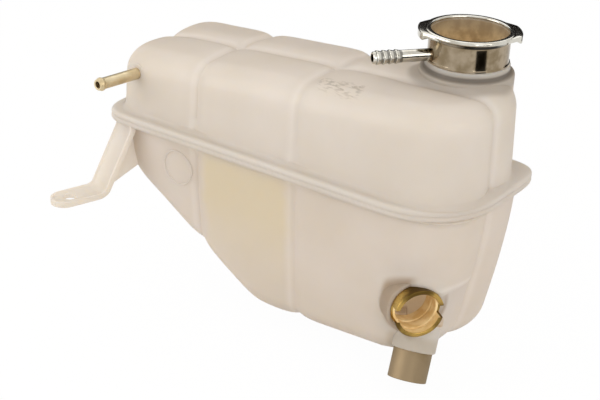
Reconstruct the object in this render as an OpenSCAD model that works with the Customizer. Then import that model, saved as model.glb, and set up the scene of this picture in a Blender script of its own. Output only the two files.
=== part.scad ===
// Coolant expansion tank: two welded moulded shells, plated filler neck, brass fittings.
// Millimetres. Origin at the centre of the filler mouth, +X to the neck end, -Y to the
// fitting side, +Z up along the neck. Lengths below are first laid out from the neck axis,
// the tank's centre line and the weld plane, and moved to the origin by on_frame().

/* [Tank plan] */

// neck axis to the outer end of the weld flange at the neck end
flange_near = 47; // [42:0.5:56]
// neck axis to the outer end of the weld flange at the far end
flange_far = 244; // [225:1:265]
// full width over the weld flange
flange_w = 116; // [104:1:130]
// how far the weld flange stands out from the side walls
flange_out = 7; // [4:0.5:9]
// how far the weld flange stands out at the round nose
nose_out = 4.5; // [3:0.5:8]
// length of the round nose, measured on the flange
nose_len = 58; // [48:1:70]
// length of the squarer far end, measured on the flange
tail_len = 47; // [35:1:55]
// squareness of the nose on the walls
nose_n = 2.9; // [2:0.1:5]
// squareness of the nose on the lower shell's back side
nose_back_n = 4.2; // [2:0.1:6]
// squareness of the flange at the nose, fitting side
flange_nose_n = 2.3; // [2:0.1:5]
// squareness of the flange at the nose, back side
flange_back_n = 7; // [2:0.1:8]
// squareness of the far end
tail_n = 4.5; // [2.5:0.1:6]
// squareness of the flange at the far end
flange_tail_n = 5.5; // [3:0.1:8]

/* [Shells] */

// moulded wall thickness
wall = 3; // [2.2:0.1:4]
// height of the lid above the weld plane, at the neck axis
lid_h = 66.5; // [58:0.5:80]
// fall of the lid from the neck axis to the far end
lid_fall = 18; // [0:0.5:28]
// shoulder radius of the lid
lid_r = 17; // [12:0.5:22]
// inward slope of the lid walls over their height
lid_draft = 2; // [0:0.5:5]
// depth of the deep end below the weld plane
sump_d = 121.5; // [100:1:130]
// depth at the far end, where the floor starts to slope
tail_d = 36.5; // [30:1:48]
// length of the deep flat floor, from the neck axis
sump_len = 116; // [90:1:140]
// rise of the deep floor from its far end to the neck end
floor_rise = 8; // [0:0.5:16]
// bottom edge radius
sump_r = 19; // [12:0.5:22]
// inward slope of the sump walls over their height
sump_draft = 9; // [3:0.5:14]
// extra inward slope of the sump at the nose
nose_draft = 10; // [0:0.5:12]
// crown of each flat top
crown = 2; // [0:0.5:4]

/* [Lobes] */

// distance from the neck axis to the first cross groove
groove_1 = 80; // [70:1:92]
// distance between the two cross grooves
groove_pitch = 83; // [70:1:95]
// depth of the cross grooves
cross_depth = 3; // [2:0.5:6]
// depth of the long centre groove
long_depth = 4; // [2:0.5:7]
// share of the cross grooves' depth that the lower shell loses towards its floor
groove_fade = 0.5; // [0:0.1:0.8]
// reach of a groove to each side
groove_reach = 5.5; // [4:0.5:9]
// depth of the hollow that the level socket stands in
scoop_depth = 3; // [1:0.5:8]
// depth of its upper edge below the weld plane
scoop_top = 55; // [48:1:72]
// where it starts, behind the socket's mouth
scoop_lead = 26; // [20:1:34]

/* [Weld flange] */

// height of each half of the flange at its edge
lip_h = 4.2; // [3:0.1:6]
// edge rounding of each half
lip_edge = 1.2; // [0.6:0.1:1.8]

/* [Filler neck] */

// neck axis behind the tank's centre line
neck_y = 27; // [22:0.5:32]
// filler mouth above the weld plane
mouth_z = 98; // [92:0.5:108]
// bore radius of the filler mouth
mouth_r = 25; // [22:0.5:27]
// radius over the rolled rim
rim_r = 29.4; // [27.5:0.1:32]
// height of the rolled rim
rim_h = 3.2; // [2:0.1:5]
// radius over the two bayonet cams
cam_r = 33.4; // [31:0.1:36]
// half angle of each cam
cam_half = 24; // [15:1:35]
// angle of the cam line from the tank's length
cam_turn = 36; // [0:1:90]
// drop of the cam skirts below the rim's top
cam_drop = 5.6; // [4:0.1:8]
// depth of the cap seat below the rim
seat_depth = 20; // [18:0.5:22]
// opening radius of the cap seat
seat_r = 20.5; // [17:0.5:22]
// wall of the neck round its bore
neck_t = 1.4; // [1:0.1:2]
// length of the neck's spigot inside the moulded boss
spigot_len = 9; // [6:0.5:12]
// wall of the spigot
spigot_t = 3.8; // [3.4:0.1:4.2]
// section radius of the sealing ring on the spigot
seal_r = 1.1; // [0.8:0.05:1.3]
// radius of the moulded boss under the neck
neck_boss_r = 31; // [29:0.5:34]
// radius of the ring that the neck's foot stands on
neck_ring_r = 27.6; // [27:0.1:29]
// height of that ring
neck_ring_h = 5.5; // [4:0.5:8]
// depth of the moulded boss below the lid, at the neck axis
boss_drop = 12; // [10:0.5:20]
// visible length of the plated neck
neck_len = 21; // [19:0.5:26]

/* [Overflow nipple] */

// direction of the overflow nipple
spill_turn = -128; // [-150:1:-110]
// height of its axis above the neck's foot
spill_z = 5; // [4.5:0.1:7]
// tip distance from the neck axis
spill_reach = 65; // [58:1:72]
// radius of the tube
spill_r = 4; // [3:0.1:5]
// bore radius of the tube
spill_bore = 2.6; // [1.8:0.1:3.4]
// extra radius of each barb
spill_barb = 0.7; // [0.4:0.1:1]
// number of barbs
spill_barbs = 4; // [2:1:6]
// distance between the barbs
spill_step = 4.2; // [3:0.1:5]
// last barb to the tip
spill_tip = 2.5; // [1.5:0.1:4]
// length of each barb's crest
spill_land = 0.5; // [0.3:0.1:1]

/* [Vent nipple] */

// distance of the vent nipple from the flange's far end
vent_end = 28; // [24:1:44]
// height above the weld plane
vent_z = 34; // [26:0.5:38]
// swing of the nipple towards the far end
vent_swing = 8; // [0:1:15]
// reach of its tip from the side wall
vent_out = 33.5; // [25:0.5:42]
// radius of the tube
vent_r = 4; // [3:0.1:4.5]
// bore radius
vent_bore = 2.5; // [1.5:0.1:3]
// extra radius of the bead at the tip
vent_bead = 0.7; // [0.3:0.1:1.2]
// length of the bead's crest
vent_land = 1.2; // [0.8:0.1:2]
// length of the tube inside the tank's wall
vent_in = 8.5; // [6:0.5:12]

/* [Level socket] */

// mouth centre from the neck axis
socket_x = 24; // [18:0.5:30]
// mouth centre in from the side of the weld flange
socket_inset = 9; // [4:0.5:14]
// mouth centre below the weld plane
socket_z = 69; // [60:0.5:80]
// direction that the socket looks in
socket_turn = -37; // [-60:1:-20]
// outer radius of the brass sleeve
socket_r = 17; // [15:0.1:19]
// bore radius of the brass sleeve
socket_bore = 14; // [12:0.1:16]
// length of the brass sleeve
socket_len = 24; // [20:0.5:30]
// width of the two mouth notches
notch_w = 9; // [6:0.5:12]
// depth of the two mouth notches
notch_d = 8; // [4:0.5:8.5]
// extra radius of the moulded boss round the sleeve
socket_boss_t = 2.5; // [2:0.1:4]
// length of the sleeve in front of the boss
socket_out = 8.5; // [6:0.5:14]
// length of the boss behind the sleeve
socket_back = 8; // [5:0.5:12]
// width of the groove in the sleeve's bore
socket_groove = 2.6; // [1.5:0.1:4]
// depth of that groove
socket_groove_d = 1.2; // [0.6:0.1:2]

/* [Outlet] */

// where the outlet's axis leaves the floor, from the neck axis
outlet_x = 14; // [8:0.5:20]
// the same point in from the side of the weld flange
outlet_inset = 22; // [16:0.5:28]
// the same point above the level of the deep floor
outlet_rise = 16; // [10:0.5:22]
// lean of the outlet towards the fitting side
outlet_lean = 27; // [0:1:35]
// swing of the outlet about the vertical
outlet_swing = 12; // [0:1:30]
// outer radius of the hose sleeve
outlet_r = 13; // [11:0.1:15]
// bore radius of the hose sleeve
outlet_bore = 10.5; // [8:0.1:12]
// visible length of the hose sleeve
outlet_len = 20; // [16:0.5:30]
// extra radius of the moulded collar round the sleeve
outlet_boss_t = 1.7; // [1.4:0.1:3]
// length of the sleeve inside the collar
outlet_in = 9; // [6:0.5:14]
// step from the visible sleeve down to its stretch in the collar
outlet_step = 0.4; // [0.2:0.1:0.8]
// length of the collar past the sleeve's inner end
outlet_back = 10; // [6:0.5:14]

/* [Mounting foot] */

// outer side of the foot's strip, in from the flange's far end
foot_inset = 12.5; // [8:0.5:18]
// width of the strip
foot_w = 20; // [15:0.5:24]
// height of the pad's underside below the weld plane
foot_z = 52.5; // [46:0.5:58]
// reach of the pad past the side of the weld flange, along the foot
foot_out = 56; // [48:1:64]
// swing of the foot towards the far end
foot_turn = 17; // [0:1:25]
// thickness of the strip
foot_t = 3.2; // [2.5:0.1:4.5]
// height of the strip's raised edges
foot_edge = 4.6; // [4:0.1:8]
// width of the raised edges
foot_edge_w = 1.6; // [1.2:0.1:3]
// radius of the bolt hole
foot_hole_r = 4.6; // [3.5:0.1:5.5]
// bolt hole to the tip of the pad
foot_hole_in = 14; // [10:0.5:20]
// distance of the heel from the side of the weld flange
heel_out = 20; // [14:0.5:26]
// thickness of the web behind the strip
web_t = 2.2; // [1.6:0.1:3]

/* [Hidden] */
$fn = 64;
eps = 0.01;

white = [0.87, 0.83, 0.77];
plated = [0.78, 0.78, 0.77];
brass = [0.78, 0.68, 0.42];
rubber = [0.1, 0.1, 0.1];

half_w = flange_w / 2;
tail_x = -(flange_far - tail_len);
nose_x = flange_near - nose_len;
groove_2 = groove_1 + groove_pitch;
wall_w = half_w - flange_out;
wall_nose = nose_len - nose_out;
wall_tail = tail_len - flange_out;
fit_gap = 0.06;
neck_foot_z = mouth_z - neck_len;
vent_x = flange_far - vent_end;
socket_y = socket_inset - half_w;
outlet_y = outlet_inset - half_w;
outlet_z = sump_d - outlet_rise;
foot_x = flange_far - foot_inset;
foot_y = -half_w - foot_out;
heel_y = -half_w - heel_out;
spigot_r = seat_r + spigot_t;
seal_mid = spigot_r + fit_gap - seal_r - 0.02;
seal_z = -neck_len - spigot_len / 2;
seal_back = seal_mid - seal_r - 0.02;
seal_side = seal_r + 0.2;
boss_floor = lid_h - boss_drop;
skin_start = lip_h + 2.6;

// moves the layout to the mouth's centre
module on_frame() {
  translate([0, -neck_y, -mouth_z]) children();
}

// outline radius of a rounded end with length a, half width b and squareness n
function super_r(c, s, a, b, n) =
  pow(pow(abs(c) / a, n) + pow(abs(s) / b, n), -1 / n);

// columns run round the tank: each is [x on the centre line, direction]
fan = [-72, -52, -36, -23, -13, -6, 0, 6, 13, 23, 36, 52, 72];
near_groove = [for (k = [-3.2, -1.73, -0.93, -0.4, 0, 0.4, 0.93, 1.73, 3.2]) k * groove_reach];
lobe_start = -groove_1 + near_groove[8];
x_run = concat(
  [tail_x, tail_x + 1.3 * groove_reach],
  [for (d = near_groove) if (-groove_2 + d > tail_x + 1.5 * groove_reach) -groove_2 + d],
  [-(groove_1 + groove_2) / 2],
  [for (d = near_groove) -groove_1 + d],
  [for (k = [1, 2, 3]) lobe_start + (nose_x - lobe_start) * k / 3]
);
n_run = len(x_run);
columns = concat(
  [for (x = x_run) [x, -90]],
  [for (a = fan) [nose_x, a]],
  [for (i = [n_run - 1 : -1 : 0]) [x_run[i], 90]],
  [for (a = fan) [tail_x, 180 + a]]
);
n_col = len(columns);

function wall_r(a, low) =
  abs(cos(a)) < eps ? wall_w
  : cos(a) > 0 ? super_r(cos(a), sin(a), wall_nose, wall_w, low && sin(a) > 0 ? nose_back_n : nose_n)
  : super_r(cos(a), sin(a), wall_tail, wall_w, tail_n);

function flange_r(a) =
  abs(cos(a)) < eps ? half_w
  : cos(a) < 0 ? super_r(cos(a), sin(a), tail_len, half_w, flange_tail_n)
  : super_r(cos(a), sin(a), nose_len, half_w, sin(a) < 0 ? flange_nose_n : flange_back_n);

// groove depth at a point of the plan
function groove(q, depth) = depth * exp(-pow(abs(q) / groove_reach, 1.35));
function pit(x, y, fade) =
  fade * (groove(x + groove_1, cross_depth) + groove(x + groove_2, cross_depth)) + groove(y, long_depth);

// heights of the lid and of the floor along the tank
function lid_z(x) = lid_h + lid_fall * x / flange_far;
function step_up(t) = let (q = min(1, max(0, t))) q * q * (3 - 2 * q);
function scoop(x, y, z) =
  scoop_depth * step_up((z - scoop_top) / 10) * step_up((x - socket_x + scoop_lead) / 16) * step_up(-y / 14);
function ramp(x) = tail_d + (sump_d - tail_d) * (x + flange_far) / (flange_far - sump_len);
function soft_min(a, b, k) = (a + b - sqrt((a - b) * (a - b) + k * k)) / 2;
function floor_z(x) =
  soft_min(ramp(x), sump_d, 6) - floor_rise * max(0, x + sump_len) / (sump_len + flange_near);
function height(x, low) = low ? floor_z(x) : lid_z(x);

// levels of the skin: [kind, value] with kind 1 wall, 2 corner arc, 3 top
skin_levels = concat(
  [for (v = [0, 0.12, 0.4, 0.7]) [1, v]],
  [for (a = [0 : 18 : 90]) [2, a]],
  [for (k = [0.82, 0.6, 0.4, 0.23, 0.1, 0]) [3, k]]
);
inner_levels = concat(
  [for (v = [-1, 0.1, 0.6]) [1, v]],
  [for (a = [0 : 30 : 90]) [2, a]],
  [for (k = [0.75, 0.45, 0.22, 0]) [3, k]]
);

// section of the flange's edge at column c: [distance out, height] from the weld plane up
function flange_section(c, low) =
  let (edge = flange_r(c[1]), root = wall_r(c[1], low) + 2.2)
  [[edge - lip_edge * 0.7, 0], [edge, lip_edge * 0.6], [edge, lip_h - lip_edge],
   [edge - lip_edge, lip_h], [root, lip_h + 0.5]];
function flange_point(c, k, low) =
  let (q = flange_section(c, low)[k])
  [c[0] + q[0] * cos(c[1]), q[0] * sin(c[1]), q[1]];

// point on the skin, moved in by t, with the grooves pressed in along the surface
function skin_point(c, lv, low, t) =
  let (kind = lv[0], v = lv[1])
  let (corner = low ? sump_r : lid_r)
  let (lean = low ? sump_draft + nose_draft * max(0, cos(c[1])) : lid_draft)
  let (w = wall_r(c[1], low) - t)
  let (full = height(c[0] + w * cos(c[1]), low) - t)
  let (wall_z = v < 0 ? 0 : skin_start + (full - corner - skin_start) * v)
  let (z = kind == 1 ? wall_z : kind == 2 ? full - corner * (1 - sin(v)) : full)
  let (up = min(1, max(0, z - skin_start) / (full - skin_start)))
  let (turned = kind == 1 ? 0 : kind == 2 ? corner * (1 - cos(v)) : corner)
  let (k = kind == 3 ? v : 1)
  let (r = (w - lean * pow(up, low ? 1.5 : 1) - turned) * k)
  let (x = c[0] + r * cos(c[1]), y = r * sin(c[1]))
  let (fade = kind > 1 || v >= 0.15 ? 1 : v > 0 ? 0.7 : 0.45)
  let (d = pit(x, y, low ? 1 - groove_fade * up : 1) * fade + (low && y < 0 ? scoop(x, y, z) : 0))
  let (out = kind == 1 ? 1 : kind == 2 ? cos(v) : 0)
  let (rise = kind == 1 ? 0 : kind == 2 ? sin(v) : 1)
  let (top = kind == 3 ? height(x, low) - t + crown * (1 - k * k) : z)
  [c[0] + (r - d * out) * cos(c[1]), (r - d * out) * sin(c[1]), top - d * rise];

// index of column i on ring j
function at(j, i) = j * n_col + (i % n_col);

// closed hollow half: flange band, skin, and the inner skin, stitched in the weld plane
module half_shell(low) {
  outer = concat(
    [for (k = [0 : 4]) [for (c = columns) flange_point(c, k, low)]],
    [for (lv = skin_levels) [for (c = columns) skin_point(c, lv, low, 0)]]
  );
  inner = [for (lv = inner_levels) [for (c = columns) skin_point(c, lv, low, wall)]];
  n_out = len(outer);
  rings = concat(outer, inner);
  flat = [for (r = rings) each r];
  // the last ring of each skin lies on the centre line, where both sides share points
  back = 2 * n_run + len(fan);
  function spine(j, i) =
    let (k = i % n_col)
    j * n_col + (k < n_run ? k : k < n_run + len(fan) ? n_run - 1
                 : k < back ? back - 1 - k : 0);
  function quad(a, b, c, d) = [[a, b, c], [a, c, d]];
  function band(j0, j1, i) = quad(at(j0, i), at(j0, i + 1), at(j1, i + 1), at(j1, i));
  function cap(j0, j1, i) =
    let (p = spine(j1, i), q = spine(j1, i + 1))
    p == q ? [[at(j0, i), at(j0, i + 1), p]]
           : [[at(j0, i), at(j0, i + 1), q], [at(j0, i), q, p]];
  last_in = n_out + len(inner) - 1;
  cols = [0 : n_col - 1];
  function turn(f, yes) = yes ? [f[2], f[1], f[0]] : f;
  faces = concat(
    [for (j = [0 : n_out - 3]) for (i = cols) for (f = band(j, j + 1, i)) turn(f, !low)],
    [for (i = cols) for (f = cap(n_out - 2, n_out - 1, i)) turn(f, !low)],
    [for (j = [n_out : last_in - 2]) for (i = cols) for (f = band(j, j + 1, i)) turn(f, low)],
    [for (i = cols) for (f = cap(last_in - 1, last_in, i)) turn(f, low)],
    [for (i = cols) for (f = band(n_out, 0, i)) turn(f, !low)]
  );
  pts = [for (p = flat) low ? [p[0], p[1], -p[2]] : p];
  polyhedron(points = pts, faces = faces, convexity = 10);
}

// one ring segment between two radii and two heights
module ring(r0, r1, z0, z1) {
  translate([0, 0, z0]) difference() {
    cylinder(r = r1, h = z1 - z0);
    translate([0, 0, -1]) cylinder(r = r0, h = z1 - z0 + 2);
  }
}

module upper_shell() {
  color(white) on_frame() difference() {
    union() {
      half_shell(false);
      translate([0, neck_y, 0]) neck_boss();
      vent_place() translate([0, 0, wall / 2]) cylinder(r = vent_r + wall, h = vent_in - wall / 2);
    }
    translate([0, neck_y, boss_floor - lid_r]) cylinder(r = seat_r, h = mouth_z);
    translate([0, neck_y, neck_foot_z - spigot_len - fit_gap])
      cylinder(r = spigot_r + fit_gap, h = spigot_len + neck_len);
    vent_place() translate([0, 0, -vent_in]) cylinder(r = vent_r + fit_gap, h = 3 * vent_in);
  }
}

// moulded boss under the filler neck, with the ring that the neck's foot stands on
module neck_boss() {
  bevel = neck_boss_r / 22;
  edge = bevel / 2;
  shelf = neck_foot_z - neck_ring_h;
  rotate_extrude() polygon([
    [seat_r - bevel, boss_floor], [neck_boss_r - bevel, boss_floor],
    [neck_boss_r, boss_floor + bevel], [neck_boss_r, shelf - bevel], [neck_boss_r - bevel, shelf],
    [neck_ring_r + edge, shelf + edge], [neck_ring_r, shelf + bevel],
    [neck_ring_r, neck_foot_z - edge], [neck_ring_r - edge, neck_foot_z], [seat_r - bevel, neck_foot_z]
  ]);
}

// frame of the vent nipple: z runs into the tank from the outer face of its wall
module vent_place() {
  translate([-vent_x, -wall_w + 0.8, vent_z])
    rotate([0, 0, -vent_swing]) rotate([-90, 0, 0]) children();
}

// frame of the level socket: z runs out of its mouth, x across its notches
module socket_place() {
  translate([socket_x, socket_y, -socket_z])
    rotate([0, 0, socket_turn]) rotate([0, 90, 0]) children();
}

// frame of the outlet: z runs up the bore into the tank
module outlet_place() {
  translate([outlet_x, outlet_y, -outlet_z])
    rotate([0, 0, outlet_swing]) rotate([-outlet_lean, 0, 0]) children();
}

module lower_shell() {
  color(white) on_frame() difference() {
    union() {
      half_shell(true);
      socket_place() socket_boss();
      outlet_place() cylinder(r = outlet_r + outlet_boss_t, h = outlet_in + outlet_back);
      foot_place() foot();
    }
    socket_place() translate([0, 0, -socket_len - fit_gap])
      cylinder(r = socket_r + fit_gap, h = socket_len + socket_back);
    socket_place() translate([0, 0, -socket_len - 3 * socket_back])
      cylinder(r = socket_bore - 1, h = socket_len / 2 + 3 * socket_back);
    outlet_place() translate([0, 0, -outlet_in])
      cylinder(r = outlet_r - outlet_step + fit_gap, h = 2 * outlet_in + fit_gap);
    outlet_place() cylinder(r = outlet_bore, h = outlet_in + 3 * outlet_back);
    outlet_place() translate([0, 0, -outlet_in]) cylinder(r = outlet_r + outlet_boss_t, h = outlet_in);
  }
}

// moulded boss that holds the brass sleeve, with its mouth at the sleeve's visible end
module socket_boss() {
  root = socket_len + socket_back;
  translate([0, 0, -root]) cylinder(r = socket_r + socket_boss_t, h = root - socket_out);
}

// outline of the foot's strip, seen along the tank; up raises its upper side
function strip(up) =
  let (pad = -foot_z + foot_t, bend = foot_t, root = -lip_h + lip_edge)
  let (outer = -half_w + 2.5, inner = -wall_w + 1.5, in_low = -foot_z / 2)
  [[outer, root], [outer - up / 2, root - 2 * lip_edge],
   [heel_y + bend / 2, pad + bend + up], [heel_y - bend, pad + up], [foot_y, pad + up],
   [foot_y, -foot_z], [heel_y - bend, -foot_z], [heel_y + 1.8 * bend, -foot_z + 1.4 * bend],
   [inner, in_low * 0.45], [inner, root]];

module strip_slab(up, x0, w) {
  translate([x0, 0, 0]) rotate([90, 0, 90]) linear_extrude(height = w) polygon(strip(up));
}

// frame of the foot: laid out along -y and swung round the root of its strip
module foot_place() {
  root = [foot_w / 2 - foot_x, -wall_w, 0];
  translate(root) rotate([0, 0, -foot_turn]) translate(-root) children();
}

// foot with its pad, raised edges and the web that ties it to the shell
module foot() {
  rise = foot_edge - foot_t;
  difference() {
    union() {
      strip_slab(0, -foot_x, foot_w);
      strip_slab(rise, -foot_x, foot_edge_w);
      strip_slab(rise, -foot_x + foot_w - foot_edge_w, foot_edge_w);
    }
    translate([-foot_x + foot_w / 2, foot_y + foot_hole_in, -foot_z - foot_t])
      cylinder(r = foot_hole_r, h = 3 * foot_edge);
    pad_tip();
  }
  translate([-foot_x + (foot_w - web_t) / 2, 0, 0]) rotate([90, 0, 90])
    linear_extrude(height = web_t) polygon(web());
}

// outline of the web, from the strip's knee to the heel and in under the far end's floor
function web() =
  let (inner = -wall_w + flange_out)
  [[-wall_w - 1, -2 * lip_h], [heel_y + 2 * foot_t, -foot_z + 2 * foot_t],
   [heel_y + foot_t, 1 - foot_z], [inner + wall, 1 - tail_d], [inner, 2 * lip_h - tail_d]];

// what is cut off the square end of the strip to round it
module pad_tip() {
  r = foot_w / 2;
  tall = 3 * foot_edge;
  translate([-foot_x + r, foot_y + r, -foot_z - foot_t]) difference() {
    translate([-r - 1, -r - 1, 0]) cube([foot_w + 2, r + 1, tall]);
    translate([0, 0, -1]) cylinder(r = r, h = tall + 2);
  }
}

// section of the neck from the mouth round the rim, down the outside and up the bore
function neck_section() =
  let (skin = mouth_r + neck_t, edge = rim_h / 3, foot = -neck_len)
  [[mouth_r, 0], [rim_r - edge, 0], [rim_r, -edge], [rim_r, edge - rim_h], [rim_r - edge, -rim_h],
   [skin + edge / 2, -rim_h - 2 * edge], [skin, -rim_h - 3 * edge], [skin - edge / 3, foot + 2 * edge],
   [skin + edge / 2, foot + edge], [skin + edge / 2, foot], [spigot_r, foot],
   [spigot_r, seal_z + seal_side], [seal_back, seal_z + seal_side],
   [seal_back, seal_z - seal_side], [spigot_r, seal_z - seal_side],
   [spigot_r, foot - spigot_len], [seat_r, foot - spigot_len], [seat_r, -seat_depth],
   [mouth_r, -seat_depth]];

module filler_neck() {
  color(plated) on_frame() translate([0, neck_y, mouth_z]) difference() {
    union() {
      rotate_extrude() polygon(neck_section());
      for (s = [0, 180]) rotate([0, 0, cam_turn + s]) cam();
    }
    spill_place() translate([0, 0, mouth_r - 1.5 * spill_r]) cylinder(r = spill_r + fit_gap, h = 5 * spill_r);
  }
}

module neck_seal() {
  color(rubber) on_frame() translate([0, neck_y, mouth_z + seal_z]) rotate_extrude()
    translate([seal_mid, 0]) circle(r = seal_r, $fn = 24);
}

// one bayonet cam: a plate level with the rim and its turned-down skirt
module cam() {
  plate = rim_h * 0.6;
  top = rim_h / 8;
  reach = 2 * cam_r;
  intersection() {
    union() {
      ring(rim_r - rim_h, cam_r, -top - plate, -top);
      ring(cam_r - plate, cam_r, -cam_drop, -top);
    }
    translate([0, 0, -2 * cam_drop]) linear_extrude(height = 3 * cam_drop)
      polygon([[0, 0], reach * [cos(cam_half), -sin(cam_half)], reach * [cos(cam_half), sin(cam_half)]]);
  }
}

// frame of the overflow nipple, from the neck's mouth: z runs out to its tip
module spill_place() {
  translate([0, 0, -neck_len + spill_z]) rotate([0, 0, spill_turn]) rotate([0, 90, 0]) children();
}

// profile points of one barb whose crest ends at z
function barb(z) =
  [[spill_r, z - spill_step * 0.8], [spill_r + spill_barb, z - spill_land],
   [spill_r + spill_barb, z], [spill_r, z + 0.3]];

module overflow_nipple() {
  root = mouth_r + 0.3;
  edge = spill_r / 5;
  last = spill_reach - spill_tip;
  color(plated) on_frame() translate([0, neck_y, mouth_z]) spill_place() rotate_extrude() polygon(concat(
    [[spill_bore, root], [spill_r, root]],
    [for (i = [spill_barbs - 1 : -1 : 0]) each barb(last - i * spill_step)],
    [[spill_r, spill_reach - edge], [spill_r - edge, spill_reach], [spill_bore, spill_reach]]
  ));
}

module vent_nipple() {
  crest = vent_r + vent_bead;
  slope = vent_r * 0.3;
  tip = -vent_out;
  land = tip + 2 * slope;
  color(brass) on_frame() vent_place() rotate_extrude() polygon([
    [vent_bore, vent_in], [vent_r, vent_in], [vent_r, land + vent_land + slope],
    [crest, land + vent_land], [crest, land], [vent_r, land - slope],
    [vent_r - slope / 2, tip], [vent_bore, tip]
  ]);
}

module level_socket() {
  color(brass) on_frame() socket_place() difference() {
    translate([0, 0, -socket_len]) cylinder(r = socket_r, h = socket_len);
    translate([0, 0, -socket_len - 1]) cylinder(r = socket_bore, h = socket_len + 2);
    translate([0, 0, -socket_out * 0.9]) cylinder(r = socket_bore + socket_groove_d, h = socket_groove);
    translate([-notch_w / 2, -2 * socket_r, -notch_d]) cube([notch_w, 4 * socket_r, notch_d + 1]);
  }
}

module outlet_sleeve() {
  color(brass) on_frame() outlet_place() {
    ring(outlet_bore, outlet_r, -outlet_len, 0);
    ring(outlet_bore, outlet_r - outlet_step, -outlet_step, outlet_in);
  }
}

upper_shell();
lower_shell();
filler_neck();
overflow_nipple();
vent_nipple();
level_socket();
outlet_sleeve();
neck_seal();
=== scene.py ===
import math

import bmesh
import bpy
import numpy as np
from mathutils import Matrix, Vector


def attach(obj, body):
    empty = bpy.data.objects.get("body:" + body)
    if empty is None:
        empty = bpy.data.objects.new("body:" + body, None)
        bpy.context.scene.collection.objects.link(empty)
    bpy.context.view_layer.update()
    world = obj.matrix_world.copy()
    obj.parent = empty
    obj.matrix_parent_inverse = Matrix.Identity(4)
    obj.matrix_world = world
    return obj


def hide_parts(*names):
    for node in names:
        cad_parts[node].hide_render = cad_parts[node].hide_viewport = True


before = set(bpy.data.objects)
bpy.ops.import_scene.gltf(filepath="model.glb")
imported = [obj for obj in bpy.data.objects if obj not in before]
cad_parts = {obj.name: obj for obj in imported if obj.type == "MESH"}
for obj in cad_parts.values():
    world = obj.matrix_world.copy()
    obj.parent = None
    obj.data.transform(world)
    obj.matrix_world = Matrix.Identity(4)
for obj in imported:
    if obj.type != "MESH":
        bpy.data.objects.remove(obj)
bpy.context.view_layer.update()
MM = 0.001
print("CAD nodes:", ", ".join(sorted(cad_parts)))

# %% [markdown]
# ## Places of the fittings
# The neck, the sockets and the tubes are all turned parts, each laid out along its own z axis with
# its mouth at zero. One matrix for each turns it, moves it to its place in the frame and brings
# millimetres to metres. The same matrices give the axes that the marks on the plastic follow.
# %% Matrices of the fittings
def frame_matrix(origin, *turns):
    """Matrix for a piece that is laid out in mm along z, turned and moved to its place."""
    matrix = Matrix.Translation(Vector(origin) * MM)
    for angle, axis in turns:
        matrix = matrix @ Matrix.Rotation(math.radians(angle), 4, axis)
    return matrix @ Matrix.Scale(MM, 4)


def axis_of(fitting):
    """Unit direction of a fitting's own z axis."""
    return tuple((fitting.to_3x3() @ Vector((0, 0, 1))).normalized())


NECK = frame_matrix((0, 0, 0))
VENT = frame_matrix((-216, -77.2, -64), (-8, "Z"), (-90, "X"))
SOCKET = frame_matrix((24, -76, -167), (-37, "Z"), (90, "Y"))
OUTLET = frame_matrix((14, -63, -203.5), (12, "Z"), (-27, "X"))
SPILL = frame_matrix((0, 0, -16), (-128, "Z"), (90, "Y"))
print("socket axis:", [round(v, 3) for v in axis_of(SOCKET)])

# %% [markdown]
# ## Small helpers
# A material or a geometry tree is a set of nodes with settings and links, so one function adds a
# node of any kind. Colours are written as sRGB hex values, as a paint chart gives them, and turned
# to the linear values that the renderer works with.
# %% Helpers for nodes and colours
def put(tree, kind, inputs=None, **settings):
    """Adds a node, sets its settings, and links or fills its inputs; a node links its first output."""
    node = tree.nodes.new(kind)
    for name, value in settings.items():
        setattr(node, name, value)
    for key, value in (inputs or {}).items():
        if isinstance(value, bpy.types.Node):
            value = value.outputs[0]
        if isinstance(value, bpy.types.NodeSocket):
            tree.links.new(value, node.inputs[key])
        else:
            node.inputs[key].default_value = value
    return node


def srgb(code):
    """Linear colour with alpha from a hex code."""
    parts = [int(code[i : i + 2], 16) / 255 for i in (1, 3, 5)]
    return tuple(p / 12.92 if p <= 0.04045 else ((p + 0.055) / 1.055) ** 2.4 for p in parts) + (1.0,)


def new_material(name):
    """An empty node material with its output node."""
    material = bpy.data.materials.new(name)
    material.use_nodes = True
    material.node_tree.nodes.clear()
    out = material.node_tree.nodes.new("ShaderNodeOutputMaterial")
    return material, material.node_tree, out


print("mid grey in linear light:", round(srgb("#808080")[0], 3))

# %% [markdown]
# ## Masks
# Every mark is a mask, a number from 0 to 1, laid over the plain colour. Masks are built from
# distances on the object in millimetres, so each mark keeps its real place and size. A mask may
# follow a fitting: then it reads the distance along that fitting's axis and the distance from it.
# %% Mask helpers
def object_mm(tree):
    """Object coordinates in mm."""
    metres = put(tree, "ShaderNodeTexCoord").outputs["Object"]
    return put(tree, "ShaderNodeVectorMath", {0: metres, "Scale": 1 / MM}, operation="SCALE").outputs[0]


def worked(tree, value, *steps):
    """Takes a value through steps of arithmetic, each an operation and perhaps a second value."""
    for operation, *other in steps:
        second = {1: other[0]} if other else {}
        value = put(tree, "ShaderNodeMath", {0: value, **second}, operation=operation)
    return value.outputs[0]


def all_of(tree, first, *others):
    """1 only where every mask is 1."""
    return worked(tree, first, *(("MULTIPLY", other) for other in others))


def soft_edge(tree, value, start, end):
    """Mask that rises smoothly from 0 at start to 1 at end."""
    span = {"Value": value, "From Min": start, "From Max": end}
    return put(tree, "ShaderNodeMapRange", span, interpolation_type="SMOOTHSTEP").outputs["Result"]


def between(tree, value, start, end, soft):
    """Mask of 1 between start and end, with soft borders outside them."""
    return all_of(tree, soft_edge(tree, value, start - soft, start), soft_edge(tree, value, end + soft, end))


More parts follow.
